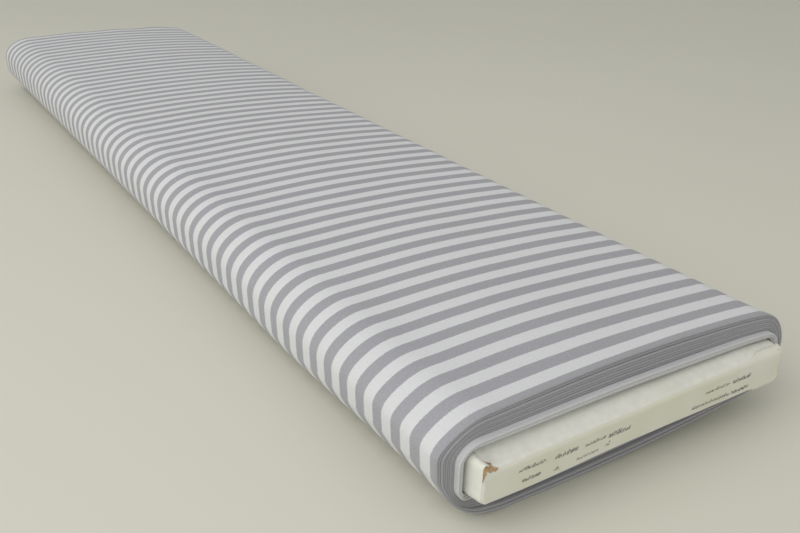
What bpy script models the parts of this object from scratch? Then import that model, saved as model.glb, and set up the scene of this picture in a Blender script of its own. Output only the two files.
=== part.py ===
"""A bolt of striped cloth: cloth folded double and wound round a hollow card board.

Metres, +Z up. X runs along the bolt, with the end that carries the label at +X.
The origin is in the middle of the bolt, on the surface that it lies on.

The cloth is one length, wound clockwise as seen from +X: along the underside to -Y,
up over the -Y side, along the top to +Y, and down over the +Y side, where it ends.
A lap number says how far the winding has come. It is whole along the underside,
half-way to the next along the top, and grows only on the two rounded sides.
"""

import math

import bpy

# Driving dimensions
FOLDED_WIDTH = 0.750  # the cloth is 1.5 m wide, folded double
BOARD_LENGTH = 0.750
BOARD_WIDTH = 0.168
BOARD_THICKNESS = 0.017
BOARD_STANDS_OUT = 0.008  # beyond the fold of the cloth, at the label's end
CARD = 0.003  # thickness of the corrugated card
PAPER = 0.0003  # thickness of the label
GAP = 0.0003  # between pieces that touch

# The winding
LAST_LAP = 10  # the underside lap that lies on the table
INNER_LAPS = 4  # the laps whose fold falls on a white stripe
SLACK_SIDE = 0.0012  # between the board and the first lap
SLACK_FLAT = 0.0006
LAP_PITCH_TOP = 0.00110  # from one lap to the next, along the top
LAP_PITCH_UNDER = 0.00156  # the laps sag on the underside
LAP_PITCH_SIDE = 0.00093
LAP_FILL = 0.7  # the doubled cloth's share of that pitch
FIRST_BEND = 0.0020  # radius of the cloth's bend at the board's corner
BEND_GROWTH = 0.00148  # how much wider each lap bends
LAP_CROWN = 0.00025  # how much higher each lap stands in the middle of the top
ARC_STEPS = 6
CROWN_STEPS = 6
LAP_END_GAP = 0.0006  # between one stretch of cloth and the next
TAIL_TURN = math.radians(45)  # how far the cloth's end reaches round the lower +Y edge

# The board's inside
SEAM_WIDTH = 0.025
FOLD_PITCH = 0.013
FOLDS = 9
STIFFENER_CARD = 0.002
STIFFENER_SETBACK = 0.010

LABEL_MARGIN = 0.0008

LENGTH = FOLDED_WIDTH + BOARD_STANDS_OUT + GAP + PAPER
FAR_RIM = -LENGTH / 2
NEAR_RIM = FAR_RIM + FOLDED_WIDTH
BOARD_NEAR = NEAR_RIM + BOARD_STANDS_OUT
BOARD_FAR = BOARD_NEAR - BOARD_LENGTH

WHITE_CARD = (0.80, 0.80, 0.76)
KRAFT_CARD = (0.45, 0.31, 0.19)
LABEL_PAPER = (0.78, 0.77, 0.68)
WHITE_CLOTH = (0.78, 0.78, 0.78)
GREY_CLOTH = (0.36, 0.36, 0.38)


def half_height(lap, height):
    """From the board's middle to a lap's flat face. height is +1 for the top, else -1."""
    pitch = LAP_PITCH_TOP if height > 0 else LAP_PITCH_UNDER
    return BOARD_THICKNESS / 2 + SLACK_FLAT + lap * pitch


def half_width(lap):
    return BOARD_WIDTH / 2 + SLACK_SIDE + lap * LAP_PITCH_SIDE


def bend(lap):
    return FIRST_BEND + lap * BEND_GROWTH


def half_flat(lap):
    """Half the length of the flat stretch, between the rounded sides."""
    return half_width(lap) - bend(lap)


OUTSIDE = LAP_FILL  # added to a lap number, it gives that lap's outer face
BOARD_HEIGHT = half_height(LAST_LAP + OUTSIDE, -1)  # of the board's middle above the table
# The last lap stands half a lap further out on +Y than on -Y, so the board is off centre.
BOARD_Y = -(LAP_PITCH_SIDE / 2) / 2


def clear_scene():
    for obj in list(bpy.data.objects):
        bpy.data.objects.remove(obj, do_unlink=True)


def paint(name, colour, roughness):
    material = bpy.data.materials.new(name)
    material.use_nodes = True
    shader = material.node_tree.nodes["Principled BSDF"]
    shader.inputs["Base Color"].default_value = (*colour, 1)
    shader.inputs["Roughness"].default_value = roughness
    shader.inputs["Metallic"].default_value = 0
    return material


def add_part(obj, name, material):
    """Names the object and its mesh, paints it and puts it in the bolt's collection."""
    obj.name = name
    obj.data.name = name
    obj.data.materials.clear()
    obj.data.materials.append(material)
    for collection in list(obj.users_collection):
        collection.objects.unlink(obj)
    bpy.data.collections["fabric_bolt"].objects.link(obj)
    return obj


def add_box(name, low, high, material):
    """A box between two corners, with its scale applied."""
    centre = [(a + b) / 2 for a, b in zip(low, high)]
    bpy.ops.mesh.primitive_cube_add(size=1, location=centre)
    obj = bpy.context.object
    obj.scale = [b - a for a, b in zip(low, high)]
    bpy.ops.object.transform_apply(location=False, rotation=False, scale=True)
    return add_part(obj, name, material)


def hang_from(obj, pivot_name, place):
    """Parents a moving piece to an empty on its joint's axis."""
    pivot = bpy.data.objects.get(pivot_name)
    if pivot is None:
        pivot = bpy.data.objects.new(pivot_name, None)
        bpy.data.collections["fabric_bolt"].objects.link(pivot)
        pivot.location = place
        bpy.context.view_layer.update()
    obj.parent = pivot
    obj.matrix_parent_inverse = pivot.matrix_world.inverted()


# ---- the cloth ----


def corner_point(lap, side, height, angle):
    """A point on a lap's rounded side. side is +1 or -1 for Y, height +1 or -1 for Z."""
    across = half_flat(lap) + bend(lap) * math.cos(angle)
    up = half_height(lap, height) - bend(lap) + bend(lap) * math.sin(angle)
    return BOARD_Y + side * across, BOARD_HEIGHT + height * up


def crown_point(lap, share):
    """A point on the top of a lap, share running from -1 at -Y to 1 at +Y."""
    rise = LAP_CROWN * lap * (1 - share**2)
    return BOARD_Y + share * half_flat(lap), BOARD_HEIGHT + half_height(lap, 1) + rise


def side_stretch(first_lap, side, offset, start=0.0, end=1.0):
    """Points over one rounded side, half a lap in all, for a share of the way round.

    The -Y side is climbed and the +Y side is descended, both clockwise from +X.
    """
    points = []
    steps = 2 * ARC_STEPS + 1
    for step in range(steps + 1):
        share = start + (end - start) * step / steps
        lap = first_lap + share / 2 + offset
        turn = math.pi * share
        height = (1 if turn < math.pi / 2 else -1) * side
        angle = abs(math.pi / 2 - turn)
        points.append(corner_point(lap, side, height, angle))
    return points


def top_stretch(lap, offset):
    shares = [-1 + 2 * step / CROWN_STEPS for step in range(CROWN_STEPS + 1)]
    return [crown_point(lap + offset, share) for share in shares]


def underside_stretch(lap, offset):
    across = half_flat(lap + offset)
    down = BOARD_HEIGHT - half_height(lap + offset, -1)
    return [(BOARD_Y + across, down), (BOARD_Y - across, down)]


def lap_face(first, last, offset):
    """One face of the wound cloth, from the start of lap first to the end of lap last."""
    points = []
    for lap in range(first, last):
        points += underside_stretch(lap, offset)
        points += side_stretch(lap, -1, offset)
        points += top_stretch(lap + 0.5, offset)
        points += side_stretch(lap + 0.5, 1, offset)
    return points


def without_repeats(points):
    kept = [points[0]]
    for point in points[1:]:
        if math.dist(point, kept[-1]) > GAP / 10:
            kept.append(point)
    return kept


def shortened(points, length):
    """Takes a length off the start of a line of points."""
    points = list(points)
    while math.dist(points[0], points[1]) <= length:
        length -= math.dist(points[0], points[1])
        points.pop(0)
    share = length / math.dist(points[0], points[1])
    points[0] = tuple(a + (b - a) * share for a, b in zip(points[0], points[1]))
    return points


def add_outline(name, points, x_low, x_high, material):
    """A flat outline in Y and Z, drawn out along X and made a mesh."""
    curve = bpy.data.curves.new(name, "CURVE")
    curve.dimensions = "2D"
    curve.fill_mode = "BOTH"
    curve.extrude = (x_high - x_low) / 2
    spline = curve.splines.new("POLY")
    spline.points.add(len(points) - 1)
    for point, (y, z) in zip(spline.points, points):
        point.co = (y, z, 0, 1)
    spline.use_cyclic_u = True
    obj = bpy.data.objects.new(name, curve)
    bpy.context.scene.collection.objects.link(obj)
    obj.location = ((x_low + x_high) / 2, 0, 0)
    obj.rotation_euler = (math.pi / 2, 0, math.pi / 2)
    return add_part(obj, name, material)


def add_cloth(name, inner, outer, material):
    """A stretch of doubled cloth between its inner and its outer face."""
    inner = shortened(without_repeats(inner), LAP_END_GAP)
    outer = shortened(without_repeats(outer), LAP_END_GAP)
    return add_outline(name, inner + outer[::-1], FAR_RIM, NEAR_RIM, material)


def build_cloth(white, grey):
    add_cloth(
        "cloth_inner_laps",
        lap_face(0, INNER_LAPS, 0),
        lap_face(0, INNER_LAPS, OUTSIDE),
        white,
    )

    def last_lap(offset):
        return (
            lap_face(INNER_LAPS, LAST_LAP, offset)
            + underside_stretch(LAST_LAP, offset)
            + side_stretch(LAST_LAP, -1, offset)
            + top_stretch(LAST_LAP + 0.5, offset)
        )

    add_cloth("cloth_outer_laps", last_lap(0), last_lap(OUTSIDE), grey)

    # The loose end hangs over the +Y side: down to the middle, then on round the lower edge.
    top_lap = LAST_LAP + 0.5
    tail_end = 0.5 + TAIL_TURN / math.pi
    upper = add_cloth(
        "cloth_tail_upper",
        side_stretch(top_lap, 1, 0, 0.0, 0.5),
        side_stretch(top_lap, 1, OUTSIDE, 0.0, 0.5),
        grey,
    )
    lower = add_cloth(
        "cloth_tail_lower",
        side_stretch(top_lap, 1, 0, 0.5, tail_end),
        side_stretch(top_lap, 1, OUTSIDE, 0.5, tail_end),
        grey,
    )
    shoulder = side_stretch(top_lap, 1, OUTSIDE)[0]
    waist = side_stretch(top_lap, 1, OUTSIDE, 0.5, 1.0)[0]
    hang_from(upper, "tail_shoulder_axis", (0, *shoulder))
    hang_from(lower, "tail_waist_axis", (0, *waist))


# ---- the board ----

BOARD_TOP = BOARD_HEIGHT + BOARD_THICKNESS / 2
BOARD_BASE = BOARD_HEIGHT - BOARD_THICKNESS / 2
BOARD_LEFT = BOARD_Y - BOARD_WIDTH / 2
BOARD_RIGHT = BOARD_Y + BOARD_WIDTH / 2
PANEL_FAR = BOARD_FAR + CARD + GAP
PANEL_NEAR = BOARD_NEAR - CARD - GAP
SEAM_LEFT = BOARD_LEFT + CARD + GAP
SEAM_RIGHT = SEAM_LEFT + SEAM_WIDTH


def build_panels(white, kraft):
    """The sleeve: one creased sheet of card, as a panel for each of its faces.

    Its last strip is glued to the inside of the top panel, along the -Y edge.
    """
    wall_base = BOARD_BASE + CARD + GAP
    wall_top = BOARD_TOP - CARD - GAP
    add_box(
        "board_top_panel",
        (PANEL_FAR, BOARD_LEFT, BOARD_TOP - CARD),
        (PANEL_NEAR, BOARD_RIGHT, BOARD_TOP),
        white,
    )
    add_box(
        "board_bottom_panel",
        (PANEL_FAR, BOARD_LEFT, BOARD_BASE),
        (PANEL_NEAR, BOARD_RIGHT, BOARD_BASE + CARD),
        white,
    )
    add_box(
        "board_left_wall",
        (PANEL_FAR, BOARD_LEFT, wall_base),
        (PANEL_NEAR, BOARD_LEFT + CARD, wall_top),
        white,
    )
    add_box(
        "board_right_wall",
        (PANEL_FAR, BOARD_RIGHT - CARD, wall_base),
        (PANEL_NEAR, BOARD_RIGHT, wall_top),
        white,
    )
    add_box(
        "board_glue_seam",
        (PANEL_FAR, SEAM_LEFT, wall_top - CARD),
        (PANEL_NEAR, SEAM_RIGHT, wall_top),
        kraft,
    )


def build_stiffener(kraft):
    """The strip of card folded to and fro inside the sleeve, which keeps it from crushing."""
    low = BOARD_BASE + CARD + GAP + STIFFENER_CARD / 2
    high = BOARD_TOP - CARD - GAP - STIFFENER_CARD / 2
    start = SEAM_RIGHT + FOLD_PITCH / 2
    points = []
    for fold in range(FOLDS):
        level = (low, high)[fold % 2]
        points.append((start + fold * FOLD_PITCH, level))
        points.append((start + (fold + 0.6) * FOLD_PITCH, level))
    curve = bpy.data.curves.new("folded_stiffener", "CURVE")
    curve.dimensions = "2D"
    curve.fill_mode = "NONE"
    curve.extrude = (PANEL_NEAR - PANEL_FAR) / 2 - STIFFENER_SETBACK
    spline = curve.splines.new("POLY")
    spline.points.add(len(points) - 1)
    for point, (y, z) in zip(spline.points, points):
        point.co = (y, z, 0, 1)
    obj = bpy.data.objects.new("folded_stiffener", curve)
    bpy.context.scene.collection.objects.link(obj)
    obj.location = ((PANEL_NEAR + PANEL_FAR) / 2, 0, 0)
    obj.rotation_euler = (math.pi / 2, 0, math.pi / 2)
    shell = obj.modifiers.new("thickness", "SOLIDIFY")
    shell.thickness = STIFFENER_CARD
    shell.offset = 0
    shell.use_even_offset = True
    return add_part(obj, "folded_stiffener", kraft)


def build_end_flaps(white, paper):
    """Each end of the sleeve closes with a flap that hangs from the top panel's crease."""
    flap_low = BOARD_BASE + GAP
    near = add_box(
        "near_end_flap",
        (BOARD_NEAR - CARD, BOARD_LEFT, flap_low),
        (BOARD_NEAR, BOARD_RIGHT, BOARD_TOP),
        white,
    )
    label = add_box(
        "end_label",
        (BOARD_NEAR + GAP, BOARD_LEFT + LABEL_MARGIN, flap_low + LABEL_MARGIN),
        (BOARD_NEAR + GAP + PAPER, BOARD_RIGHT - LABEL_MARGIN, BOARD_TOP - LABEL_MARGIN),
        paper,
    )
    far = add_box(
        "far_end_flap",
        (BOARD_FAR, BOARD_LEFT, flap_low),
        (BOARD_FAR + CARD, BOARD_RIGHT, BOARD_TOP),
        white,
    )
    near_crease = (BOARD_NEAR, BOARD_Y, BOARD_TOP)
    far_crease = (BOARD_FAR, BOARD_Y, BOARD_TOP)
    hang_from(near, "near_crease_axis", near_crease)
    hang_from(label, "near_crease_axis", near_crease)
    hang_from(far, "far_crease_axis", far_crease)


def main():
    clear_scene()
    bolt = bpy.data.collections.new("fabric_bolt")
    bpy.context.scene.collection.children.link(bolt)
    white = paint("white_card", WHITE_CARD, 0.7)
    kraft = paint("kraft_card", KRAFT_CARD, 0.9)
    paper = paint("label_paper", LABEL_PAPER, 0.6)
    build_cloth(
        paint("white_cloth", WHITE_CLOTH, 0.95),
        paint("grey_cloth", GREY_CLOTH, 0.95),
    )
    build_panels(white, kraft)
    build_stiffener(kraft)
    build_end_flaps(white, paper)


main()
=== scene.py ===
"""The looks of a bolt of striped cloth: wound cloth, card board, paper label and stage."""

import math
import random

import bmesh
import bpy
from bpy.props import FloatProperty, FloatVectorProperty, PointerProperty
from mathutils import Matrix, Vector, noise


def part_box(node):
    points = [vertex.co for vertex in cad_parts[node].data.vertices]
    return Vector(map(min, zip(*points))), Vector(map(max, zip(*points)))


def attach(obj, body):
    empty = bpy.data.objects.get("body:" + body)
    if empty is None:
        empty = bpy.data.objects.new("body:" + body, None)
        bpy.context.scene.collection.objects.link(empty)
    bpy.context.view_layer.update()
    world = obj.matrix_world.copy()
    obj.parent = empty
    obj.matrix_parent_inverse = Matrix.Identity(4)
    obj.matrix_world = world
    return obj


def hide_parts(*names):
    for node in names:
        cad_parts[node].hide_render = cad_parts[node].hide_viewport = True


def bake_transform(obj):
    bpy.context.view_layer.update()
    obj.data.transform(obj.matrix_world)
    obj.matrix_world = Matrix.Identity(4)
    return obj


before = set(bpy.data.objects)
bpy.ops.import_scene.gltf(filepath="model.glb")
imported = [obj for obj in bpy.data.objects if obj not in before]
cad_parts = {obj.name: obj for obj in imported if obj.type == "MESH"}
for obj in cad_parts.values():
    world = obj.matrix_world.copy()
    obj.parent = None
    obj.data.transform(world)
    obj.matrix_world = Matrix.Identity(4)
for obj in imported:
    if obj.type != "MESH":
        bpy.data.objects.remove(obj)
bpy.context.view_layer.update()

bl_info = {
    "name": "Cloth bolt",
    "version": (1, 0, 0),
    "blender": (4, 5, 0),
    "location": "3D View > Sidebar > Cloth bolt",
    "description": "Makes the wound cloth, the card board, its label and a plain stage",
    "category": "Object",
}

MM = 0.001

# The board, as the frame has it
TOP_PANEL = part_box("board_top_panel")
BOTTOM_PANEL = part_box("board_bottom_panel")
NEAR_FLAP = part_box("near_end_flap")
FAR_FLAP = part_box("far_end_flap")
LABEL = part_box("end_label")
OUTER_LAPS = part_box("cloth_outer_laps")
BOARD_LEFT, BOARD_RIGHT = TOP_PANEL[0].y, TOP_PANEL[1].y
BOARD_TOP, BOARD_BASE = TOP_PANEL[1].z, BOTTOM_PANEL[0].z
BOARD_Y = (BOARD_LEFT + BOARD_RIGHT) / 2
BOARD_Z = (BOARD_TOP + BOARD_BASE) / 2
BOARD_NEAR, BOARD_FAR = NEAR_FLAP[1].x, FAR_FLAP[0].x
PANEL_NEAR, PANEL_FAR = TOP_PANEL[1].x, TOP_PANEL[0].x
CARD = TOP_PANEL[1].z - TOP_PANEL[0].z
RIM_NEAR, RIM_FAR = OUTER_LAPS[1].x, OUTER_LAPS[0].x

# The winding, lap by lap, as the frame's cloth has it
LAST_LAP = 10
INNER_LAPS = 4
SLACK_SIDE = 1.2 * MM
SLACK_FLAT = 0.6 * MM
PITCH_TOP = 1.10 * MM
PITCH_UNDER = 1.56 * MM
PITCH_SIDE = 0.93 * MM
FIRST_BEND = 4.3 * MM
BEND_GROWTH = 1.48 * MM
LEFT_WIDTH, RIGHT_WIDTH = 1.18, 0.95  # how much wider than tall the bends of each side are
LAP_CROWN = 0.25 * MM
TAIL_SHARE = 0.75  # how far round the last rounded side the cloth reaches
END_RISE = 1.6 * MM  # how far the near end bends up at its right, cloth and board alike
PUSH_IN = 8 * MM  # how far the board can be pushed in, which the cloth leaves room for

# How a lap's two plies and its fold share the pitch of a lap
MID_DEPTH = 0.225
PLY_DEPTH = 0.24
FOLD_DEPTH = 0.33


# ---- what a user would change ----


def length_property(name, description, default):
    """A size in metres."""
    return FloatProperty(name=name, description=description, default=default, unit="LENGTH", precision=5)


def colour_property(name, description, default):
    """A linear colour."""
    return FloatVectorProperty(
        name=name, description=description, default=default, subtype="COLOR", min=0, max=1, size=3
    )


class ClothSettings(bpy.types.PropertyGroup):
    """Sizes and colours of the cloth"""

    stripe: length_property("Stripe", "Width of one stripe", 6.66 * MM)
    ply: length_property("Ply", "Thickness of one layer of cloth", 0.42 * MM)
    first_stripe: FloatProperty(
        name="First stripe",
        description="Where in a stripe the outer fold falls, in stripes before the first boundary",
        default=0.62,
    )
    setback: length_property("Setback", "The outer fold, behind the frame's cloth", 0.9 * MM)
    tuck: length_property("Tuck", "How much further back the folds lie under the board", 2.6 * MM)
    core_stands_out: length_property("Core", "How far the first laps' fold stands out", 2.2 * MM)
    core_laps: FloatProperty(
        name="Core laps", description="How many of the first laps fold on white", default=3.1
    )
    yarn: length_property("Yarn", "Distance from one yarn to the next", 0.55 * MM)
    white: colour_property("White", "Colour of the light stripes", (0.655, 0.665, 0.67))
    grey: colour_property("Grey", "Colour of the dark stripes", (0.36, 0.36, 0.388))


class BoardSettings(bpy.types.PropertyGroup):
    """Sizes and colours of the card board"""

    liner: length_property("Liner", "Thickness of the card's paper liner", 0.40 * MM)
    flute: length_property("Flute", "Distance from one flute to the next", 6.3 * MM)
    crease: length_property("Crease", "Radius of the card's creases", 3.0 * MM)
    tear: length_property("Tear", "Size of the torn corner", 3.8 * MM)
    white: colour_property("White", "Colour of the lined face", (0.72, 0.72, 0.655))
    kraft: colour_property("Kraft", "Colour of the bare card", (0.40, 0.27, 0.155))
    paper: colour_property("Label", "Colour of the label", (0.655, 0.65, 0.535))
    ink: colour_property("Ink", "Colour of the marks on the label", (0.135, 0.135, 0.13))


class StageSettings(bpy.types.PropertyGroup):
    """The floor, the light and the camera"""

    floor: colour_property("Floor", "Colour of the floor", (0.66, 0.65, 0.56))
    ambient: FloatProperty(
        name="Ambient", description="Strength of the light from all round", default=0.54
    )
    key: FloatProperty(
        name="Key", description="Power of the large soft light", default=13.5, unit="POWER"
    )
    lens: FloatProperty(name="Lens", description="Focal length in millimetres", default=40.5)


# ---- shader nodes ----


class Socket:
    """One output of a shader node. Sums on it add Math nodes."""

    def __init__(self, finish, socket):
        self.finish = finish
        self.socket = socket

    def maths(self, operation, *values):
        return self.finish.node("Math", {"operation": operation}, dict(enumerate(values)))

    def __add__(self, other):
        return self.maths("ADD", self, other)

    __radd__ = __add__

    def __mul__(self, other):
        return self.maths("MULTIPLY", self, other)

    __rmul__ = __mul__

    def __sub__(self, other):
        return self.maths("SUBTRACT", self, other)

    def __rsub__(self, other):
        return self.maths("SUBTRACT", other, self)

    def __truediv__(self, other):
        return self.maths("DIVIDE", self, other)

    def __abs__(self):
        return self.maths("ABSOLUTE", self)

    def sine(self):
        return self.maths("SINE", self)

    def ramp(self, low, high):
        """0 below low and 1 above high, smooth between them."""
        return self.finish.node(
            "MapRange",
            {"interpolation_type": "SMOOTHSTEP"},
            {"Value": self, "From Min": low, "From Max": high},
        )


class Finish:
    """A material with one Principled shader, and a short way to add nodes to it."""

    def __init__(self, name, **constants):
        self.material = bpy.data.materials.new(name)
        self.material.use_nodes = True
        self.tree = self.material.node_tree
        self.shader = self.tree.nodes["Principled BSDF"]
        for key, value in constants.items():
            self.shader.inputs[key.replace("_", " ")].default_value = value

    def node(self, kind, settings=None, inputs=None, output=0):
        made = self.tree.nodes.new("ShaderNode" + kind)
        for key, value in (settings or {}).items():
            setattr(made, key, value)
        for key, value in (inputs or {}).items():
            if isinstance(value, Socket):
                self.tree.links.new(value.socket, made.inputs[key])
            else:
                made.inputs[key].default_value = value
        return Socket(self, made.outputs[output])

    def mix(self, first, second, factor):
        """A colour from first, at factor 0, to second, at factor 1."""
        plain = [c if isinstance(c, Socket) else (*c, 1) for c in (first, second)]
        return self.node("Mix", {"data_type": "RGBA"}, {0: factor, 6: plain[0], 7: plain[1]}, 2)

    def noise(self, vector, scale, detail=2.0):
        return self.node("TexNoise", {}, {"Vector": vector, "Scale": scale, "Detail": detail})

    def uv(self):
        """The piece's own coordinates: metres across the cloth or card, and along it."""
        return self.node("UVMap", {"uv_map": "metres"})

    def place(self):
        return self.node("TexCoord", {}, {}, 3)

    def split(self, vector):
        node = self.node("SeparateXYZ", {}, {0: vector}).socket.node
        return [Socket(self, node.outputs[i]) for i in range(3)]

    def set(self, name, value):
        self.tree.links.new(value.socket, self.shader.inputs[name])

    def bump(self, height, distance, strength=1.0):
        self.set(
            "Normal",
            self.node("Bump", {}, {"Height": height, "Distance": distance, "Strength": strength}),
        )


def cloth_finish(settings):
    """Woven cotton in grey and white stripes, with slubs, and painted shade along its fold."""
    finish = Finish(
        "striped_cotton", Roughness=0.92, Sheen_Weight=0.12, Sheen_Roughness=0.6, Specular_IOR_Level=0.2
    )
    uv = finish.uv()
    across, along, _ = finish.split(uv)
    # the first laps fold on a white stripe, and the stripes drift to the grey one after them
    begins, ends = core_ends(settings)
    shift = (1 - along.ramp(begins, ends)) * (settings.stripe * 1.15)
    count = (across + shift) / settings.stripe - settings.first_stripe
    fray = (finish.noise(uv, 1400.0, 1.0) - 0.5) * 0.10
    wander = (finish.noise(uv, 40.0, 1.0) - 0.5) * 0.08
    stripes = ((count + fray + wander) * math.pi).sine() * -1.0
    grey = stripes.ramp(-0.12, 0.12)
    colour = finish.mix(settings.white, settings.grey, grey)
    slub = finish.noise(uv, 900.0, 3.0).ramp(0.30, 0.72)
    darker = finish.mix(
        tuple(c * 0.90 for c in settings.white), tuple(c * 0.80 for c in settings.grey), grey
    )
    colour = finish.mix(colour, darker, slub * 0.55)
    cloudy = finish.noise(uv, 22.0, 3.0).ramp(0.35, 0.75)
    colour = finish.mix(colour, darker, cloudy * 0.22)
    # painted shade: within about 2 mm of each fold the cloth is mixed towards dark grey, where the laps
    # lie in shade
    clear_of_fold_shade = abs(across).ramp(0.4 * MM, 2.2 * MM)
    colour = finish.mix(finish.mix((0.30, 0.30, 0.30), colour, 0.68), colour, clear_of_fold_shade)
    finish.set("Base Color", colour)
    turn = 2 * math.pi / settings.yarn
    weave = (across * turn).sine() * (along * turn).sine()
    finish.bump(weave * 0.5 + finish.noise(uv, 1100.0, 2.0), 0.10 * MM, 0.45)
    return finish.material


def card_finish(settings):
    """White-lined card: matt, faintly mottled, a little dirty."""
    finish = Finish("white_lined_card", Roughness=0.62, Specular_IOR_Level=0.35)
    place = finish.place()
    fibre = finish.noise(place, 260.0, 4.0)
    dirt = finish.noise(place, 30.0, 4.0).ramp(0.50, 0.85)
    colour = finish.mix(settings.white, tuple(c * 0.93 for c in settings.white), fibre.ramp(0.3, 0.7))
    grimy = tuple(c * f for c, f in zip(settings.white, (0.84, 0.80, 0.72)))
    colour = finish.mix(colour, grimy, dirt * 0.5)
    finish.set("Base Color", colour)
    finish.bump(fibre + finish.noise(place, 60.0, 2.0) * 0.3, 0.05 * MM, 0.4)
    return finish.material


def kraft_finish(settings):
    """Bare brown card, with its fibres and darker specks."""
    finish = Finish("brown_kraft_card", Roughness=0.88, Specular_IOR_Level=0.2)
    place = finish.place()
    fibre = finish.noise(place, 900.0, 4.0)
    speck = finish.noise(place, 1500.0, 1.0).ramp(0.62, 0.72)
    colour = finish.mix(settings.kraft, tuple(c * 1.35 for c in settings.kraft), fibre.ramp(0.3, 0.7))
    colour = finish.mix(colour, tuple(c * 0.55 for c in settings.kraft), speck * 0.6)
    finish.set("Base Color", colour)
    finish.bump(fibre, 0.15 * MM, 0.7)
    return finish.material


def paper_finish(settings):
    """The label's smooth paper, with a soft warm mottle."""
    finish = Finish("label_paper", Roughness=0.48, Specular_IOR_Level=0.4)
    place = finish.place()
    mottle = finish.noise(place, 45.0, 3.0).ramp(0.35, 0.75)
    colour = finish.mix(
        settings.paper, tuple(c * f for c, f in zip(settings.paper, (1.06, 1.06, 1.14))), mottle
    )
    finish.set("Base Color", colour)
    finish.bump(finish.noise(place, 120.0, 2.0), 0.06 * MM, 0.4)
    return finish.material


def ink_finish(settings):
    """The marks' ink, which lets some of the paper through."""
    finish = Finish("printed_marks", Roughness=0.6, Specular_IOR_Level=0.2)
    worn = finish.noise(finish.place(), 2500.0, 2.0).ramp(0.45, 0.75)
    finish.set("Base Color", finish.mix(settings.ink, settings.paper, worn * 0.55))
    return finish.material


def floor_finish(colour):
    """A plain floor with very faint patches."""
    finish = Finish("pale_floor", Roughness=0.55, Specular_IOR_Level=0.25)
    place = finish.place()
    patch = finish.noise(place, 1.6, 3.0).ramp(0.3, 0.7)
    finish.set("Base Color", finish.mix(colour, tuple(c * 0.975 for c in colour), patch))
    return finish.material


FINISHES = {
    "cloth": (cloth_finish, "cloth_settings"),
    "card": (card_finish, "board_settings"),
    "kraft": (kraft_finish, "board_settings"),
    "label": (paper_finish, "board_settings"),
    "ink": (ink_finish, "board_settings"),
}


def finish_for(slot):
    """The material of a slot, made the first time it is asked for."""
    key = f"bolt_{slot}"
    if key not in bpy.data.materials:
        make, group = FINISHES[slot]
        made = make(getattr(bpy.context.scene, group))
        made.name = key
    return bpy.data.materials[key]


# ---- meshes ----


def mesh_piece(name, vertices, faces, uvs, slots):
    """A mesh object in the frame, with its metric coordinates and its finishes."""
    mesh = bpy.data.meshes.new(name)
    mesh.from_pydata(vertices, [], faces)
    layer = mesh.uv_layers.new(name="metres")
    for loop in mesh.loops:
        layer.data[loop.index].uv = uvs[loop.vertex_index]
    for slot in slots:
        mesh.materials.append(finish_for(slot))
    obj = bpy.data.objects.new(name, mesh)
    bpy.context.scene.collection.objects.link(obj)
    return obj


def grid_quads(rows, width):
    """The faces of a grid whose vertices are numbered row by row."""
    corners = ((0, 0), (0, 1), (1, 1), (1, 0))
    starts = [(i, k) for i in range(rows - 1) for k in range(width - 1)]
    return [[(i + down) * width + k + over for down, over in corners] for i, k in starts]


def grid_piece(name, rows, slots):
    """A sheet from rows of (point, uv)."""
    vertices = [point for row in rows for point, _ in row]
    uvs = [uv for row in rows for _, uv in row]
    return mesh_piece(name, vertices, grid_quads(len(rows), len(rows[0])), uvs, slots)


def thicken(obj, thickness):
    """Gives a sheet its thickness, as real faces, half of it to each side."""
    shell = obj.modifiers.new("thickness", "SOLIDIFY")
    shell.thickness = thickness
    shell.offset = 0.0
    shell.use_even_offset = False
    return settle(obj)


def settle(obj):
    """Applies every modifier, and shades the mesh smooth except at its sharp edges."""
    graph = bpy.context.evaluated_depsgraph_get()
    mesh = bpy.data.meshes.new_from_object(obj.evaluated_get(graph))
    mesh.name = obj.name
    obj.modifiers.clear()
    obj.data = mesh
    mesh.shade_smooth()
    mesh.set_sharp_from_angle(angle=math.radians(42))
    return obj


def finished(obj, body, slot, *nodes):
    """Says which body a piece moves with, and the frame's nodes it stands for. Its slot is not used."""
    if nodes:
        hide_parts(*nodes)
    if body:
        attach(obj, body)
    return obj


# ---- the winding ----


class Station:
    """A place along the wound cloth: which stretch of a lap, how far on, and the lap so far."""

    def __init__(self, stretch, share, lap):
        self.stretch = stretch
        self.share = share
        self.lap = lap
        self.progress = lap
        self.along = 0.0

    def point(self, depth):
        """Across and up, at a depth counted in laps outwards from the lap's inner face."""
        lap = self.lap + depth
        bend = FIRST_BEND + lap * BEND_GROWTH
        reach = (BOARD_RIGHT - BOARD_LEFT) / 2 + SLACK_SIDE + lap * PITCH_SIDE
        left = -reach + bend * LEFT_WIDTH
        right = reach - bend * RIGHT_WIDTH
        rise = (BOARD_TOP - BOARD_BASE) / 2 + SLACK_FLAT
        top = rise + lap * PITCH_TOP
        under = rise + lap * PITCH_UNDER
        if self.stretch == "under":
            return BOARD_Y + right + (left - right) * self.share, BOARD_Z - under
        if self.stretch == "top":
            across = 2 * self.share - 1
            crown = LAP_CROWN * lap * (1 - across**2)
            return BOARD_Y + left + (right - left) * self.share, BOARD_Z + top + crown
        side = 1 if self.stretch == "right" else -1
        turn = math.pi * self.share
        upper = (turn < math.pi / 2) == (side == 1)
        angle = abs(math.pi / 2 - turn)
        across = right + bend * RIGHT_WIDTH * math.cos(angle)
        if side == -1:
            across = left - bend * LEFT_WIDTH * math.cos(angle)
        up = bend * math.sin(angle) - bend
        return BOARD_Y + across, BOARD_Z + (top + up if upper else -under - up)


STEPS = {"under": 30, "left": 26, "top": 30, "right": 26}
STARTS = {"under": 0.0, "left": 0.0, "top": 0.5, "right": 0.5}
ORDER = ("under", "left", "top", "right")


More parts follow.
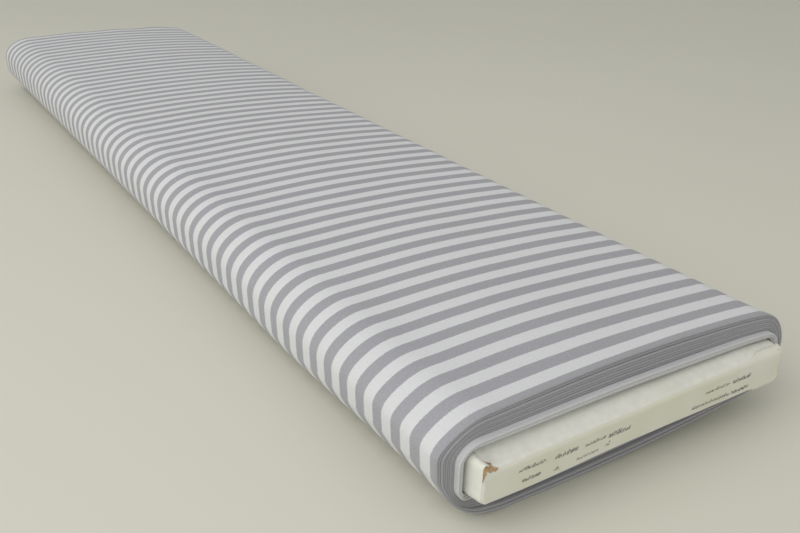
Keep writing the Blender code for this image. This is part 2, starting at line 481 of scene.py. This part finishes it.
def stretch_stations(stretch, lap, start=0.0, end=1.0):
    """Stations over one stretch of a lap. The lap number grows only on the rounded sides."""
    steps = max(2, round(STEPS[stretch] * (end - start)))
    made = []
    for step in range(steps + 1):
        share = start + (end - start) * step / steps
        growth = share / 2 if stretch in ("left", "right") else 0.0
        station = Station(stretch, share, lap + STARTS[stretch] + growth)
        station.progress = lap + (ORDER.index(stretch) + share) / 4
        made.append(station)
    return made


def measured(stations, start=0.0):
    """Drops repeated stations and gives each its distance along the cloth."""
    kept = []
    for station in stations:
        here = Vector(station.point(MID_DEPTH))
        if kept:
            gap = (here - Vector(kept[-1].point(MID_DEPTH))).length
            if gap < 0.02 * MM:
                continue
            station.along = kept[-1].along + gap
        else:
            station.along = start
        kept.append(station)
    return kept


def smooth_noise(seed, *place):
    """A repeatable smooth value from -1 to 1."""
    return noise.noise(Vector((*place, 0.0, 0.0)[:3]) + Vector((seed, 2.3 * seed, -seed)))


def share_of(value, low, high):
    """0 at low, 1 at high and smooth between."""
    share = min(max((value - low) / (high - low), 0), 1)
    return share * share * (3 - 2 * share)


def near_rim(station, settings):
    """Where the fold lies at a station. The first laps stand out, and none is quite straight."""
    drift = lap_drift(station.progress)
    wander = 0.22 * MM * smooth_noise(7.7, station.along * 9.0)
    stands_out = settings.core_stands_out * core_share(station, settings)
    outermost = share_of(station.progress, LAST_LAP - 2, LAST_LAP)
    tuck = settings.tuck * under_share(station) * (1 - outermost)
    return RIM_NEAR - settings.setback + stands_out - tuck + drift + wander


def under_share(station):
    """1 on the underside, 0 from the rounded sides up and smooth between."""
    if station.stretch == "left":
        return 1 - share_of(station.share, 0, 0.35)
    if station.stretch == "right":
        return share_of(station.share, 0.65, 1)
    return float(station.stretch == "under")


def core_share(station, settings):
    """1 on the first laps, 0 beyond them and smooth between."""
    return 1 - share_of(station.progress, settings.core_laps - 0.3, settings.core_laps + 0.2)


# How far each lap's fold stands out or lies back, in millimetres, from the first lap
LAP_DRIFTS = (-0.5, 0.3, 0.4, -0.2, 0.0, -0.2, 0.05, -0.15, 0.25, -0.35, -0.35)


def lap_drift(progress):
    """The fold drifts smoothly from one lap's place to the next's."""
    lap = min(int(progress), LAST_LAP)
    share = share_of(progress - lap, 0.05, 0.45)
    before = LAP_DRIFTS[max(lap - 1, 0)]
    return (before + (LAP_DRIFTS[lap] - before) * share) * MM


def far_rim(station, ply):
    """Where a ply's selvedge lies at a station: uneven from lap to lap, and wavy."""
    drift = 1.1 * MM * smooth_noise(11.3 + 5 * ply, station.progress * 1.7)
    wander = 0.7 * MM * smooth_noise(17.9 + 5 * ply, station.along * 14.0)
    return RIM_FAR + 1.6 * MM + drift + wander


def core_ends(settings):
    """How far along the cloth the stripes start to drift, and where they have done."""
    stations = measured(all_laps(0, INNER_LAPS))
    places = [s.along for s in stations if abs(s.progress - settings.core_laps) < 0.25]
    return places[0], places[-1]


def slump(x, y, z, size):
    """Gentle waves over the surface, which die out towards the board, and a full left shoulder."""
    wave = 0.55 * smooth_noise(23.0, x * 9.0, y * 14.0) + 0.35 * smooth_noise(29.0, x * 23.0, y * 20.0)
    upper = share_of(z, BOARD_Z - 6 * MM, BOARD_Z + 20 * MM)
    wave *= upper
    away = math.hypot(y + 92 * MM, z - 35 * MM) / (15 * MM)
    ruffle = smooth_noise(37.0, y * 26.0, z * 40.0) * (1 - share_of(x, RIM_FAR, RIM_FAR + 22 * MM))
    ruffle *= upper
    return (0.75 * wave + 1.6 * ruffle + 0.9 * math.exp(-away * away)) * MM * size


def swell(x, y):
    """How far the flat top flares up towards its near fold."""
    reach = 12 * MM + 18 * MM * share_of(y, 0, 50 * MM)
    share = min(max((x - RIM_NEAR + reach) / reach, 0), 1)
    lift = 2.1 * MM * share**2 * share_of(y, -90 * MM, 5 * MM)
    return lift * (1 - 0.6 * share_of(y, 60 * MM, 95 * MM))


def right_share(y):
    """0 left of -45 mm, 1 right of 85 mm and ever steeper between."""
    return min(max((y + 45 * MM) / (130 * MM), 0), 1) ** 2


def end_share(x):
    """1 at the near fold, 0 from 30 mm behind it and smooth between."""
    return share_of(x, RIM_NEAR - 0.03, RIM_NEAR)


def raised(x, y, size):
    """How far the underside lifts off the floor towards its near right corner."""
    long_rise = 6.6 * MM * share_of(x, RIM_NEAR - 0.25, RIM_NEAR - 0.02)
    return (long_rise + END_RISE * end_share(x)) * right_share(y) * size


def squeezed(x, y, size):
    """How far the laps are pressed together under the board's near left corner."""
    share = min(max((-62 * MM - y) / (32 * MM), 0), 1) ** 1.8
    up = 9 * MM * size * share * (0.25 + 0.75 * share_of(x, RIM_NEAR - 0.14, RIM_NEAR - 0.01))
    return up - (1 - size) * base_sag(x + PUSH_IN, y)


def base_sag(x, y):
    """How far the board's underside hangs down at its near left corner."""
    return 2.0 * MM * (1 - share_of(y, -70 * MM, 0)) * end_share(x)


def base_rise(x, y):
    """How far the board's underside bends up at its near right corner."""
    return END_RISE * right_share(y) * end_share(x)


def cloth_point(station, x, depth):
    """A point of the cloth in the frame."""
    y, z = station.point(depth)
    inner_y, inner_z = station.point(depth - 1)
    out = Vector((y - inner_y, z - inner_z)).normalized()
    size = (station.lap + depth) / LAST_LAP
    wave = slump(x, y, z, size)
    lift = swell(x, y) * share_of(z, BOARD_Z - 2 * MM, BOARD_TOP)
    if station.stretch == "under":
        lift += raised(x, y, size) + squeezed(x, y, size)
    elif station.stretch == "right":
        lift += raised(x, y, size) * share_of(station.share, 0.35, 0.9)
        lift += squeezed(x, y, size) * share_of(station.share, 0.35, 0.9)
    elif station.stretch == "left":
        lift += squeezed(x, y, size) * (1 - share_of(station.share, 0.3, 0.8))
    return Vector((x, y + out.x * wave, z + out.y * wave + lift))


FOLD_TURNS = 7


def lap_profile(station, settings, middle):
    """One lap from selvedge to selvedge: (x, depth, distance from the fold)."""
    rim = near_rim(station, settings)
    radius = FOLD_DEPTH * PITCH_TOP
    near = [0.7 * MM, 1.6 * MM, 3.5 * MM, 8 * MM, 18 * MM]
    profile = []
    for ply, side in ((0, 1), (1, -1)):
        leaf = []
        far = far_rim(station, ply)
        span = rim - radius - near[-1]
        for step in range(middle + 1):
            leaf.append((far + (span - far) * step / middle, PLY_DEPTH))
        for back in reversed(near[:-1]):
            depth = PLY_DEPTH + (FOLD_DEPTH - PLY_DEPTH) * (1 - share_of(back, 0, 4 * MM))
            leaf.append((rim - radius - back, depth))
        around = radius * math.pi / 2
        leaf = [(x, MID_DEPTH + side * depth, rim - radius - x + around) for x, depth in leaf]
        if side == 1:
            profile += leaf
            for turn in range(FOLD_TURNS):
                angle = math.pi * (0.5 - turn / (FOLD_TURNS - 1))
                x = rim - radius + radius * math.cos(angle)
                profile.append((x, MID_DEPTH + FOLD_DEPTH * math.sin(angle), radius * angle))
        else:
            profile += [(x, depth, -distance) for x, depth, distance in reversed(leaf)]
    return profile


def wound_piece(name, stations, settings, middle):
    """Cloth wound along the stations, with a number of steps in the middle of each ply."""
    rows = []
    for station in stations:
        row = []
        for x, depth, distance in lap_profile(station, settings, middle):
            row.append((cloth_point(station, x, depth), (distance, station.along)))
        rows.append(row)
    piece = grid_piece(name, rows, ["cloth"])
    thicken(piece, settings.ply)
    length = stations[-1].along - stations[0].along
    return piece


def all_laps(first, last):
    """Stations over whole laps, from the first up to but not including the last."""
    return [
        station
        for lap in range(first, last)
        for stretch in ORDER
        for station in stretch_stations(stretch, lap)
    ]


SHOULDER_SHARE = 0.84  # how far along the last top stretch the shoulder's piece starts
WAIST_SHARE = 0.482  # how far round the last rounded side the loose end starts
UPPER_END = 0.4999  # just short of half-way round, where the side's lower half takes over


def cloth_stretches():
    """The whole cloth's stations, cut where its pieces meet."""
    last = LAST_LAP
    outer = stretch_stations("under", last) + stretch_stations("left", last)
    outer += stretch_stations("top", last, 0.0, SHOULDER_SHARE)
    shoulder = stretch_stations("top", last, SHOULDER_SHARE, 1.0)
    shoulder += stretch_stations("right", last, 0.0, WAIST_SHARE)
    waist = stretch_stations("right", last, WAIST_SHARE, UPPER_END)
    waist += stretch_stations("right", last, 0.5, TAIL_SHARE)
    groups = {
        "cloth_core": all_laps(0, INNER_LAPS),
        "cloth_windings": all_laps(INNER_LAPS, LAST_LAP),
        "cloth_outer_lap": outer,
        "cloth_shoulder": shoulder,
        "cloth_loose_end": waist,
    }
    start = 0.0
    for name, stations in groups.items():
        groups[name] = measured(stations, start)
        start = groups[name][-1].along
    return groups


class OBJECT_OT_bolt_wound_cloth(bpy.types.Operator):
    """Winds the doubled cloth round the board, up to the last lap"""

    bl_idname = "object.bolt_wound_cloth"
    bl_label = "Wound cloth"

    def execute(self, context):
        settings = context.scene.cloth_settings
        laps = cloth_stretches()
        core = wound_piece("cloth_core", laps["cloth_core"], settings, 3)
        finished(core, "cloth_roll", "cloth", "cloth_inner_laps")
        windings = wound_piece("cloth_windings", laps["cloth_windings"], settings, 3)
        finished(windings, "cloth_roll", "cloth", "cloth_outer_laps")
        outer = wound_piece("cloth_outer_lap", laps["cloth_outer_lap"], settings, 60)
        finished(outer, "cloth_roll", "cloth")
        return {"FINISHED"}


class OBJECT_OT_bolt_loose_end(bpy.types.Operator):
    """Makes the loose end of the cloth, in a piece at the shoulder and one at the waist"""

    bl_idname = "object.bolt_loose_end"
    bl_label = "Loose end of the cloth"

    def execute(self, context):
        settings = context.scene.cloth_settings
        laps = cloth_stretches()
        shoulder = wound_piece("cloth_shoulder", laps["cloth_shoulder"], settings, 60)
        finished(shoulder, None, "cloth", "cloth_tail_upper")
        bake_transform(shoulder)
        waist = wound_piece("cloth_loose_end", laps["cloth_loose_end"], settings, 60)
        finished(waist, None, "cloth", "cloth_tail_lower")
        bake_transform(waist)
        return {"FINISHED"}


# ---- the board ----


SLIT = 0.45 * MM  # between the wall's liner and the top panel's free edge
CORNER = 1.8 * MM  # radius of the upright edges at the sleeve's ends


def board_point(x, y, z):
    """A point of the board as it has been handled.

    Its front top edge is dented, its top is domed under the cloth, its lower sides follow
    the cloth there, and its near left edge leans in.
    """
    height = (z - BOARD_BASE) / (BOARD_TOP - BOARD_BASE)
    slope = min(max((60 * MM - y) / (132 * MM), 0), 1)
    dent = 4.2 * MM * slope * share_of(y, BOARD_LEFT - 1 * MM, BOARD_LEFT + 8 * MM)
    dent *= share_of(x, RIM_NEAR - 5 * MM, BOARD_NEAR - 1.5 * MM)
    dome = swell(x, y) * (1 - share_of(x, RIM_NEAR, BOARD_NEAR))
    lean = 1.5 * MM * share_of(x, BOARD_NEAR - 10 * MM, BOARD_NEAR)
    lean *= 1 - share_of(y, BOARD_LEFT, BOARD_LEFT + 12 * MM)
    base = base_rise(x, y) - base_sag(x, y)
    return Vector((x, y + lean, z + height * (dome - dent) + (1 - height) * base))


def arc(centre, radius, start, end, steps):
    """Points of an arc in Y and Z, angles in degrees."""
    points = []
    for i in range(steps + 1):
        angle = math.radians(start + (end - start) * i / steps)
        points.append(Vector((centre[0] + radius * math.cos(angle), centre[1] + radius * math.sin(angle))))
    return points


def wall_line(inset, settings):
    """The sleeve's walls and bottom seen from its end, at an inset from its outer face.

    It goes from the slit on the top down the -Y wall, along the bottom and up the +Y wall.
    """
    radius = max(settings.crease - inset, 0.15 * MM)
    left, right = BOARD_LEFT + inset, BOARD_RIGHT - inset
    low, high = BOARD_BASE + inset, BOARD_TOP - inset
    rise = BOARD_TOP - BOARD_BASE
    line = arc((left + radius, high - radius), radius, 90, 180, 7)
    line += [Vector((left, BOARD_BASE + rise * share)) for share in (0.65, 0.5, 0.35)]
    line += arc((left + radius, low + radius), radius, 180, 270, 7)
    line += [Vector((left + (right - left) * i / 24, low)) for i in range(2, 23)]
    line += arc((right - radius, low + radius), radius, 270, 360, 7)
    line += [Vector((right, BOARD_BASE + rise * share)) for share in (0.35, 0.5, 0.65)]
    line += arc((right - radius, high - radius), radius, 0, 90, 7)
    return line


def top_line(inset, settings):
    """The top panel, from the +Y wall back to its free edge at the slit."""
    left, right = BOARD_LEFT + settings.crease + SLIT, BOARD_RIGHT - settings.crease
    return [Vector((right + (left - right) * i / 40, BOARD_TOP - inset)) for i in range(41)]


def glued_line(settings):
    """The strip that the wall's sheet carries on with, from the slit and under the top panel."""
    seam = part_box("board_glue_seam")
    start = BOARD_LEFT + settings.crease
    high = BOARD_TOP - settings.liner / 2
    low = seam[1].z - settings.liner / 2
    line = []
    for step in range(9):
        share = step / 8
        line.append(Vector((start + 2.2 * MM * share, high + (low - high) * share_of(share, 0, 1))))
    line += [Vector((start + (seam[1].y - start) * i / 6, low)) for i in range(1, 7)]
    return line


def resampled(line, pitch):
    """Points at even steps along a line, with each one's distance and direction."""
    lengths = [0.0]
    for first, second in zip(line, line[1:]):
        lengths.append(lengths[-1] + (second - first).length)
    count = max(2, round(lengths[-1] / pitch))
    made = []
    segment = 0
    for step in range(count + 1):
        distance = lengths[-1] * step / count
        while segment < len(line) - 2 and lengths[segment + 1] < distance:
            segment += 1
        first, second = line[segment], line[segment + 1]
        share = (distance - lengths[segment]) / max(lengths[segment + 1] - lengths[segment], 1e-9)
        direction = (second - first).normalized()
        made.append((first.lerp(second, share), distance, direction))
    return made


def turned_in(x, y, end):
    """The sleeve's walls turn in a little at its ends, to the flaps' upright edges."""
    over = max(abs(x) - (abs(end) - CORNER), 0)
    inward = CORNER - math.sqrt(max(CORNER**2 - over**2, 0))
    if abs(y - BOARD_Y) < (BOARD_RIGHT - BOARD_LEFT) / 2 - 2 * CARD:
        return y
    return y - math.copysign(inward, y - BOARD_Y)


def drawn_out(line, near, far):
    """Rows of a sheet drawn along X from a line in Y and Z, with short steps at its ends."""
    ends = [0, 0.5 * MM, 1.2 * MM, 2.2 * MM, 3.5 * MM, 5.5 * MM, 8 * MM, 12 * MM, 20 * MM, 32 * MM]
    middle = [far + (near - far) * i / 16 for i in range(2, 15)]
    x_values = [far + step for step in ends] + middle + [near - step for step in reversed(ends)]
    rows = []
    distance = 0.0
    for index, point in enumerate(line):
        if index:
            distance += (point - line[index - 1]).length
        row = []
        for x in x_values:
            y = turned_in(x, point.x, BOARD_NEAR if x > 0 else BOARD_FAR)
            row.append((board_point(x, y, point.y), (x, distance)))
        rows.append(row)
    return rows


def flute_line(line, settings):
    """The wavy middle of the card, between its liners."""
    height = CARD / 2 - settings.liner - 0.12 * MM
    waves = []
    for point, distance, direction in resampled(line, settings.flute / 8):
        across = Vector((direction.y, -direction.x))
        waves.append(point + across * height * math.sin(2 * math.pi * distance / settings.flute))
    return waves


def sleeve_sheet(name, line, near, far, thickness, slot, *nodes):
    """One sheet of the sleeve, which moves with the board."""
    piece = grid_piece(name, drawn_out(line, near, far), [slot])
    thicken(piece, thickness)
    return finished(piece, "board", slot, *nodes)


class OBJECT_OT_bolt_sleeve(bpy.types.Operator):
    """Makes the board's sleeve: two liners with a fluted sheet between them"""

    bl_idname = "object.bolt_sleeve"
    bl_label = "Card sleeve"

    def execute(self, context):
        settings = context.scene.board_settings
        liner = settings.liner
        outer, middle, inner = liner / 2, CARD / 2, CARD - liner / 2
        near, far = BOARD_NEAR - CORNER * 0.3, BOARD_FAR + CORNER * 0.3
        walls = wall_line(outer, settings)
        piece = sleeve_sheet("sleeve_wall_liner", walls, near, far, liner, "card", "board_left_wall")
        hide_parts("board_right_wall", "board_bottom_panel")
        top = top_line(outer, settings)
        sleeve_sheet("sleeve_top_liner", top, PANEL_NEAR, PANEL_FAR, liner, "card", "board_top_panel")
        strip = glued_line(settings)
        sleeve_sheet("sleeve_glued_strip", strip, PANEL_NEAR, PANEL_FAR, liner, "card", "board_glue_seam")
        for place, line in (("wall", wall_line), ("top", top_line)):
            lining = line(inner, settings)
            sleeve_sheet(f"sleeve_{place}_lining", lining, PANEL_NEAR, PANEL_FAR, liner, "kraft")
            flutes = flute_line(line(middle, settings), settings)
            sleeve_sheet(f"sleeve_{place}_flutes", flutes, PANEL_NEAR, PANEL_FAR, 0.22 * MM, "kraft")
        return {"FINISHED"}


class OBJECT_OT_bolt_stiffener(bpy.types.Operator):
    """Finishes the folded stiffener inside the sleeve"""

    bl_idname = "object.bolt_stiffener"
    bl_label = "Folded stiffener"

    def execute(self, context):
        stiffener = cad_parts["folded_stiffener"]
        stiffener.data.materials.clear()
        stiffener.data.materials.append(finish_for("kraft"))
        return {"FINISHED"}


def over_crease(along, radius):
    """A place on the way over a crease: how far back from the face and down from the top it
    lies, and how far the surface has turned. The bend starts at 0 along.
    """
    turn = min(max(along / radius, 0), math.pi / 2)
    back = radius - radius * math.sin(turn) + max(-along, 0)
    down = radius - radius * math.cos(turn) + max(along - radius * math.pi / 2, 0)
    return back, down, turn


def wrapped_back(y, down, radius):
    """How far a flap is bent back towards its upright edges."""
    side = min(y - BOARD_LEFT, BOARD_RIGHT - y)
    wrap = CORNER - math.sqrt(max(CORNER**2 - max(CORNER - side, 0) ** 2, 0))
    return wrap * share_of(down, 0, radius)


def flap_point(end, y, along, proud, radius):
    """A point over a flap's crease and down its face, standing proud of the ideal face."""
    sign = 1 if end > 0 else -1
    back, down, turn = over_crease(along, radius)
    dimple = 0.2 * MM * abs(smooth_noise(51.0, y * 34.0, down * 90.0)) * share_of(down, 0, radius)
    x = end - sign * (back + wrapped_back(y, down, radius) + dimple - proud * math.sin(turn))
    return board_point(x, y, BOARD_TOP - down + proud * math.cos(turn))


def torn(along, away, radius, size):
    """True where the liner has worn away: along the crease and down the upright edge."""
    ragged = 0.30 * smooth_noise(41.0, along * 700.0, away * 700.0)
    ragged += 0.20 * smooth_noise(43.0, along * 1900.0, away * 1900.0)
    over_top = abs(along - radius * 0.9) < (0.55 + ragged) * size * (1.15 - away / (2.0 * size))
    down_edge = away < (0.55 + ragged) * size * (1.1 - (along - radius) / (1.5 * size))
    return over_top or (down_edge and along > 0)


def flap_sheet(name, end, reach, inset, side, settings, tear=0.0):
    """A sheet over part of a flap's crease and face, at an inset from its outside and its sides.

    It is torn away round its -Y corner if tear is above 0.
    """
    radius = settings.crease
    first, last = reach
    steps = max(2, round((last - first) / (0.42 * MM)))
    section = [first + (last - first) * i / steps for i in range(steps + 1)]
    columns = 240
    # close steps round the torn corner, wider ones beyond it
    shares = [(i / columns) ** 1.45 for i in range(columns + 1)]
    gone, vertices, uvs = [], [], []
    for share in shares:
        for along in section:
            _, down, _ = over_crease(along, radius)
            inward = CORNER * 0.3 + side
            for level, gap in ((down, SLIT / 2), (BOARD_TOP - BOARD_BASE - down, side + 0.6 * MM)):
                if level < radius:
                    edge = radius + gap - math.sqrt(radius**2 - (radius - level) ** 2)
                    inward = max(inward, edge)
            left, right = BOARD_LEFT + inward, BOARD_RIGHT - inward
            y = left + (right - left) * share
            vertices.append(flap_point(end, y, along, -inset, radius))
            uvs.append((y, along))
            gone.append(tear > 0 and torn(along, y - left, radius, tear))
    faces = []
    for quad in grid_quads(columns + 1, len(section)):
        if not any(gone[v] for v in quad):
            faces.append(quad[::-1] if end > 0 else quad)
    piece = mesh_piece(name, vertices, faces, uvs, ["card"])
    clean = bmesh.new()
    clean.from_mesh(piece.data)
    loose = [v for v in clean.verts if not v.link_faces]
    bmesh.ops.delete(clean, geom=loose, context="VERTS")
    clean.to_mesh(piece.data)
    clean.free()
    return piece


def bend_over(obj):
    """Bakes the placing of a sheet over a crease into its mesh."""
    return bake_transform(obj)


class OBJECT_OT_bolt_end_flaps(bpy.types.Operator):
    """Makes the flap at each end of the sleeve, and the liner that bends at its crease"""

    bl_idname = "object.bolt_end_flaps"
    bl_label = "End flaps"

    def execute(self, context):
        settings = context.scene.board_settings
        liner = settings.liner
        bend = settings.crease * math.pi / 2
        over = BOARD_NEAR - PANEL_NEAR - settings.crease
        for flap, box, end, tear in (
            ("near_flap", NEAR_FLAP, BOARD_NEAR, settings.tear),
            ("far_flap", FAR_FLAP, BOARD_FAR, 0.0),
        ):
            low = bend + BOARD_TOP - settings.crease - box[0].z
            turn = bend + 1.5 * MM
            reach = (-over, turn)
            outside = flap_sheet(f"{flap}_crease", end, reach, liner / 2, liner / 2, settings, tear)
            thicken(outside, liner)
            finished(outside, None, "card")
            bend_over(outside)
            inset = liner + 0.2 * MM
            part_turn = 0.6 * bend
            reach = (-over, part_turn)
            under = flap_sheet(f"{flap}_crease_core", end, reach, inset, liner * 1.2, settings)
            under.data.materials[0] = finish_for("kraft")
            thicken(under, 0.4 * MM)
            finished(under, None, "kraft")
            bend_over(under)
            face = flap_sheet(f"{flap}_liner", end, (turn, low), liner / 2, liner / 2, settings, tear)
            thicken(face, liner)
            finished(face, flap, "card")
            inset = (CARD + liner) / 2
            core = flap_sheet(f"{flap}_core", end, (part_turn, low), inset, liner * 1.2, settings)
            core.data.materials[0] = finish_for("kraft")
            thicken(core, CARD - liner - 0.1 * MM)
            finished(core, flap, "kraft", "near_end_flap" if end > 0 else "far_end_flap")
        return {"FINISHED"}


# ---- the label ----


def label_columns(settings):
    """Places along the label, with where its upper and lower edges are, counted over the crease.

    It is straight at its left end. Towards its right end it is toothed, and it laps over the
    top edge; its lower right corner is worn.
    """
    left, right = LABEL[0].y + 1.6 * MM, BOARD_RIGHT - 0.3 * MM
    bend = settings.crease * math.pi / 2
    bottom = bend + BOARD_TOP - settings.crease - LABEL[0].z + 0.1 * MM
    teeth, tooth = 10, 1.7 * MM
    teeth_from = right - teeth * tooth
    places = [(left + (teeth_from - left) * i / 90, 0.0) for i in range(90)]
    for number in range(teeth):
        for share, stands_out in ((0.0, 0.0), (0.15, 1.0), (0.55, 1.0), (0.7, 0.0)):
            places.append((teeth_from + (number + share) * tooth, stands_out * 0.9 * MM))
    columns = []
    for y, stands_out in places:
        lapped = share_of(y, teeth_from - 9 * MM, teeth_from + 4 * MM)
        worn = max((y - right + 4 * MM) / (4 * MM), 0) ** 2
        top = bend * 0.55 - 2.4 * MM * lapped - stands_out
        top += 6.0 * MM * max(1 - (y - left) / (6.5 * MM), 0)
        low = bottom + 0.8 * MM * lapped + stands_out * (1 - worn) - 3.0 * MM * worn
        columns.append((y, top, low, lapped))
    return columns


class OBJECT_OT_bolt_label(bpy.types.Operator):
    """Makes the paper label on the near flap, with rows of plain marks on it"""

    bl_idname = "object.bolt_label"
    bl_label = "Label"

    def execute(self, context):
        settings = context.scene.board_settings
        rows = []
        for y, top, bottom, lapped in label_columns(settings):
            row = []
            for step in range(19):
                along = bottom + (top - bottom) * step / 18
                proud = (0.09 + 0.25 * lapped * share_of(abs(step - 9), 6, 9)) * MM
                place = flap_point(BOARD_NEAR, y, along, proud, settings.crease)
                row.append((place, (y, along)))
            rows.append(row)
        label = grid_piece("label_paper", rows, ["label"])
        thicken(label, 0.14 * MM)
        finished(label, None, "label", "end_label")
        bend_over(label)
        marks = label_marks(settings)
        finished(marks, "near_flap", "label")
        return {"FINISHED"}


# Groups of marks: (share along the label, share of its height, length, height, weight)
MARK_GROUPS = (
    (0.120, 0.20, 8.4, 2.0, 1.0),
    (0.108, 0.58, 13.0, 1.9, 0.5),
    (0.213, 0.50, 11.5, 2.2, 0.8),
    (0.303, 0.48, 10.3, 1.9, 0.4),
    (0.378, 0.42, 11.5, 2.6, 0.9),
    (0.213, 0.10, 2.0, 1.6, 0.3),
    (0.281, 0.12, 10.8, 1.5, 0.3),
    (0.371, 0.17, 2.2, 2.2, 1.0),
    (0.665, 0.12, 12.3, 1.8, 0.6),
    (0.743, 0.10, 10.0, 1.8, 0.5),
    (0.812, 0.09, 10.5, 2.0, 1.0),
    (0.709, 0.50, 5.0, 1.7, 0.5),
    (0.743, 0.50, 9.0, 1.9, 0.5),
    (0.812, 0.47, 11.0, 2.4, 0.9),
)


def label_marks(settings):
    """Short strokes of ink in rows. They look like small print, and say nothing."""
    rng = random.Random(12)
    shape = bmesh.new()
    width = LABEL[1].y - LABEL[0].y
    height = LABEL[1].z - LABEL[0].z
    for share, level, length, tall, weight in MARK_GROUPS:
        y = LABEL[0].y + share * width
        end = y + length * MM
        base = LABEL[0].z + level * height
        while y < end:
            stroke = rng.uniform(0.20, 0.34) * MM * (0.7 + 0.8 * weight)
            top = tall * MM * rng.choice((0.55, 0.65, 0.8, 1.0))
            lift = rng.uniform(-0.15, 0.2) * MM
            add_stroke(shape, y, base + lift, stroke, top, 0.25 + rng.uniform(-0.15, 0.15), settings)
            for _ in range(rng.choice((0, 1, 1, 2))):
                bar = base + lift + top * rng.uniform(0, 0.9)
                start = y + rng.uniform(0.1, 0.4) * MM
                add_stroke(shape, start, bar, 0.7 * MM, stroke * 0.8, 0, settings)
            y += rng.uniform(0.5, 0.85) * MM
    mesh = bpy.data.meshes.new("label_marks")
    shape.to_mesh(mesh)
    shape.free()
    mesh.materials.append(finish_for("ink"))
    obj = bpy.data.objects.new("label_marks", mesh)
    bpy.context.scene.collection.objects.link(obj)
    return obj


def add_stroke(shape, y, z, wide, tall, lean, settings):
    """One thin stroke of ink on the label."""
    radius = settings.crease
    corners = []
    for side, level in ((-1, 0), (1, 0), (1, 1), (-1, 1)):
        across = side * wide / 2 + lean * (level - 0.5) * tall
        along = radius * math.pi / 2 + BOARD_TOP - radius - z - level * tall
        corners.append(shape.verts.new(flap_point(BOARD_NEAR, y + across, along, 0.18 * MM, radius)))
    shape.faces.new(corners)


# ---- the stage ----


class OBJECT_OT_bolt_stage(bpy.types.Operator):
    """Makes the floor, the soft light and the camera"""

    bl_idname = "object.bolt_stage"
    bl_label = "Stage"

    def execute(self, context):
        settings = context.scene.stage_settings
        bpy.ops.mesh.primitive_plane_add(size=14, location=(0, 0, -0.1 * MM))
        floor = context.object
        floor.name = "floor"
        floor.data.materials.append(floor_finish(tuple(settings.floor)))
        add_light("key_light", (0.35, -1.12, 0.9), 1.6, settings.key)
        add_light("front_light", (1.8, -0.3, 0.6), 1.6, settings.key * 0.28)
        world = bpy.data.worlds.new("studio")
        world.use_nodes = True
        background = world.node_tree.nodes["Background"]
        background.inputs["Color"].default_value = (1.0, 0.995, 0.97, 1)
        background.inputs["Strength"].default_value = settings.ambient
        context.scene.world = world
        context.scene.view_settings.view_transform = "Standard"
        add_camera(settings)
        return {"FINISHED"}


def add_light(name, place, size, power):
    """A square area light that faces the middle of the bolt."""
    light = bpy.data.lights.new(name, "AREA")
    light.shape = "SQUARE"
    light.size = size
    light.energy = power
    obj = bpy.data.objects.new(name, light)
    obj.location = place
    obj.rotation_euler = (-Vector(place)).to_track_quat("-Z", "Y").to_euler()
    bpy.context.scene.collection.objects.link(obj)


EYE = Vector((0.576, -0.250, 0.228))
LOOKS_AT = Vector((0.2182, -0.0154, 0.030))
CAMERA_ROLL = math.radians(2.15)


def add_camera(settings):
    """The camera looks along the bolt from its near left corner, a little rolled."""
    camera = bpy.data.cameras.new("camera")
    camera.lens = settings.lens
    camera.sensor_width = 36
    camera.clip_start = 0.01
    obj = bpy.data.objects.new("camera", camera)
    obj.location = EYE
    aim = (LOOKS_AT - EYE).to_track_quat("-Z", "Y").to_matrix()
    obj.rotation_euler = (aim @ Matrix.Rotation(CAMERA_ROLL, 3, "Z")).to_euler()
    bpy.context.scene.collection.objects.link(obj)
    bpy.context.scene.camera = obj


# ---- the add-on ----


class VIEW3D_PT_cloth_bolt(bpy.types.Panel):
    """Lists the bolt's settings and what can be made"""

    bl_label = "Cloth bolt"
    bl_space_type = "VIEW_3D"
    bl_region_type = "UI"
    bl_category = "Cloth bolt"

    def draw(self, context):
        for group in GROUPS:
            settings = getattr(context.scene, group)
            for name in settings.__annotations__:
                self.layout.prop(settings, name)
        for operator in OPERATORS:
            self.layout.operator(operator.bl_idname)


GROUPS = {
    "cloth_settings": ClothSettings,
    "board_settings": BoardSettings,
    "stage_settings": StageSettings,
}
OPERATORS = (
    OBJECT_OT_bolt_stage,
    OBJECT_OT_bolt_wound_cloth,
    OBJECT_OT_bolt_loose_end,
    OBJECT_OT_bolt_sleeve,
    OBJECT_OT_bolt_stiffener,
    OBJECT_OT_bolt_end_flaps,
    OBJECT_OT_bolt_label,
)


def register():
    for cls in (*GROUPS.values(), *OPERATORS, VIEW3D_PT_cloth_bolt):
        bpy.utils.register_class(cls)
    for name, cls in GROUPS.items():
        setattr(bpy.types.Scene, name, PointerProperty(type=cls))


def unregister():
    for name in GROUPS:
        delattr(bpy.types.Scene, name)
    for cls in reversed((*GROUPS.values(), *OPERATORS, VIEW3D_PT_cloth_bolt)):
        bpy.utils.unregister_class(cls)


def main():
    register()
    for operator in OPERATORS:
        group, name = operator.bl_idname.split(".")
        getattr(getattr(bpy.ops, group), name)()


if __name__ == "__main__":
    main()
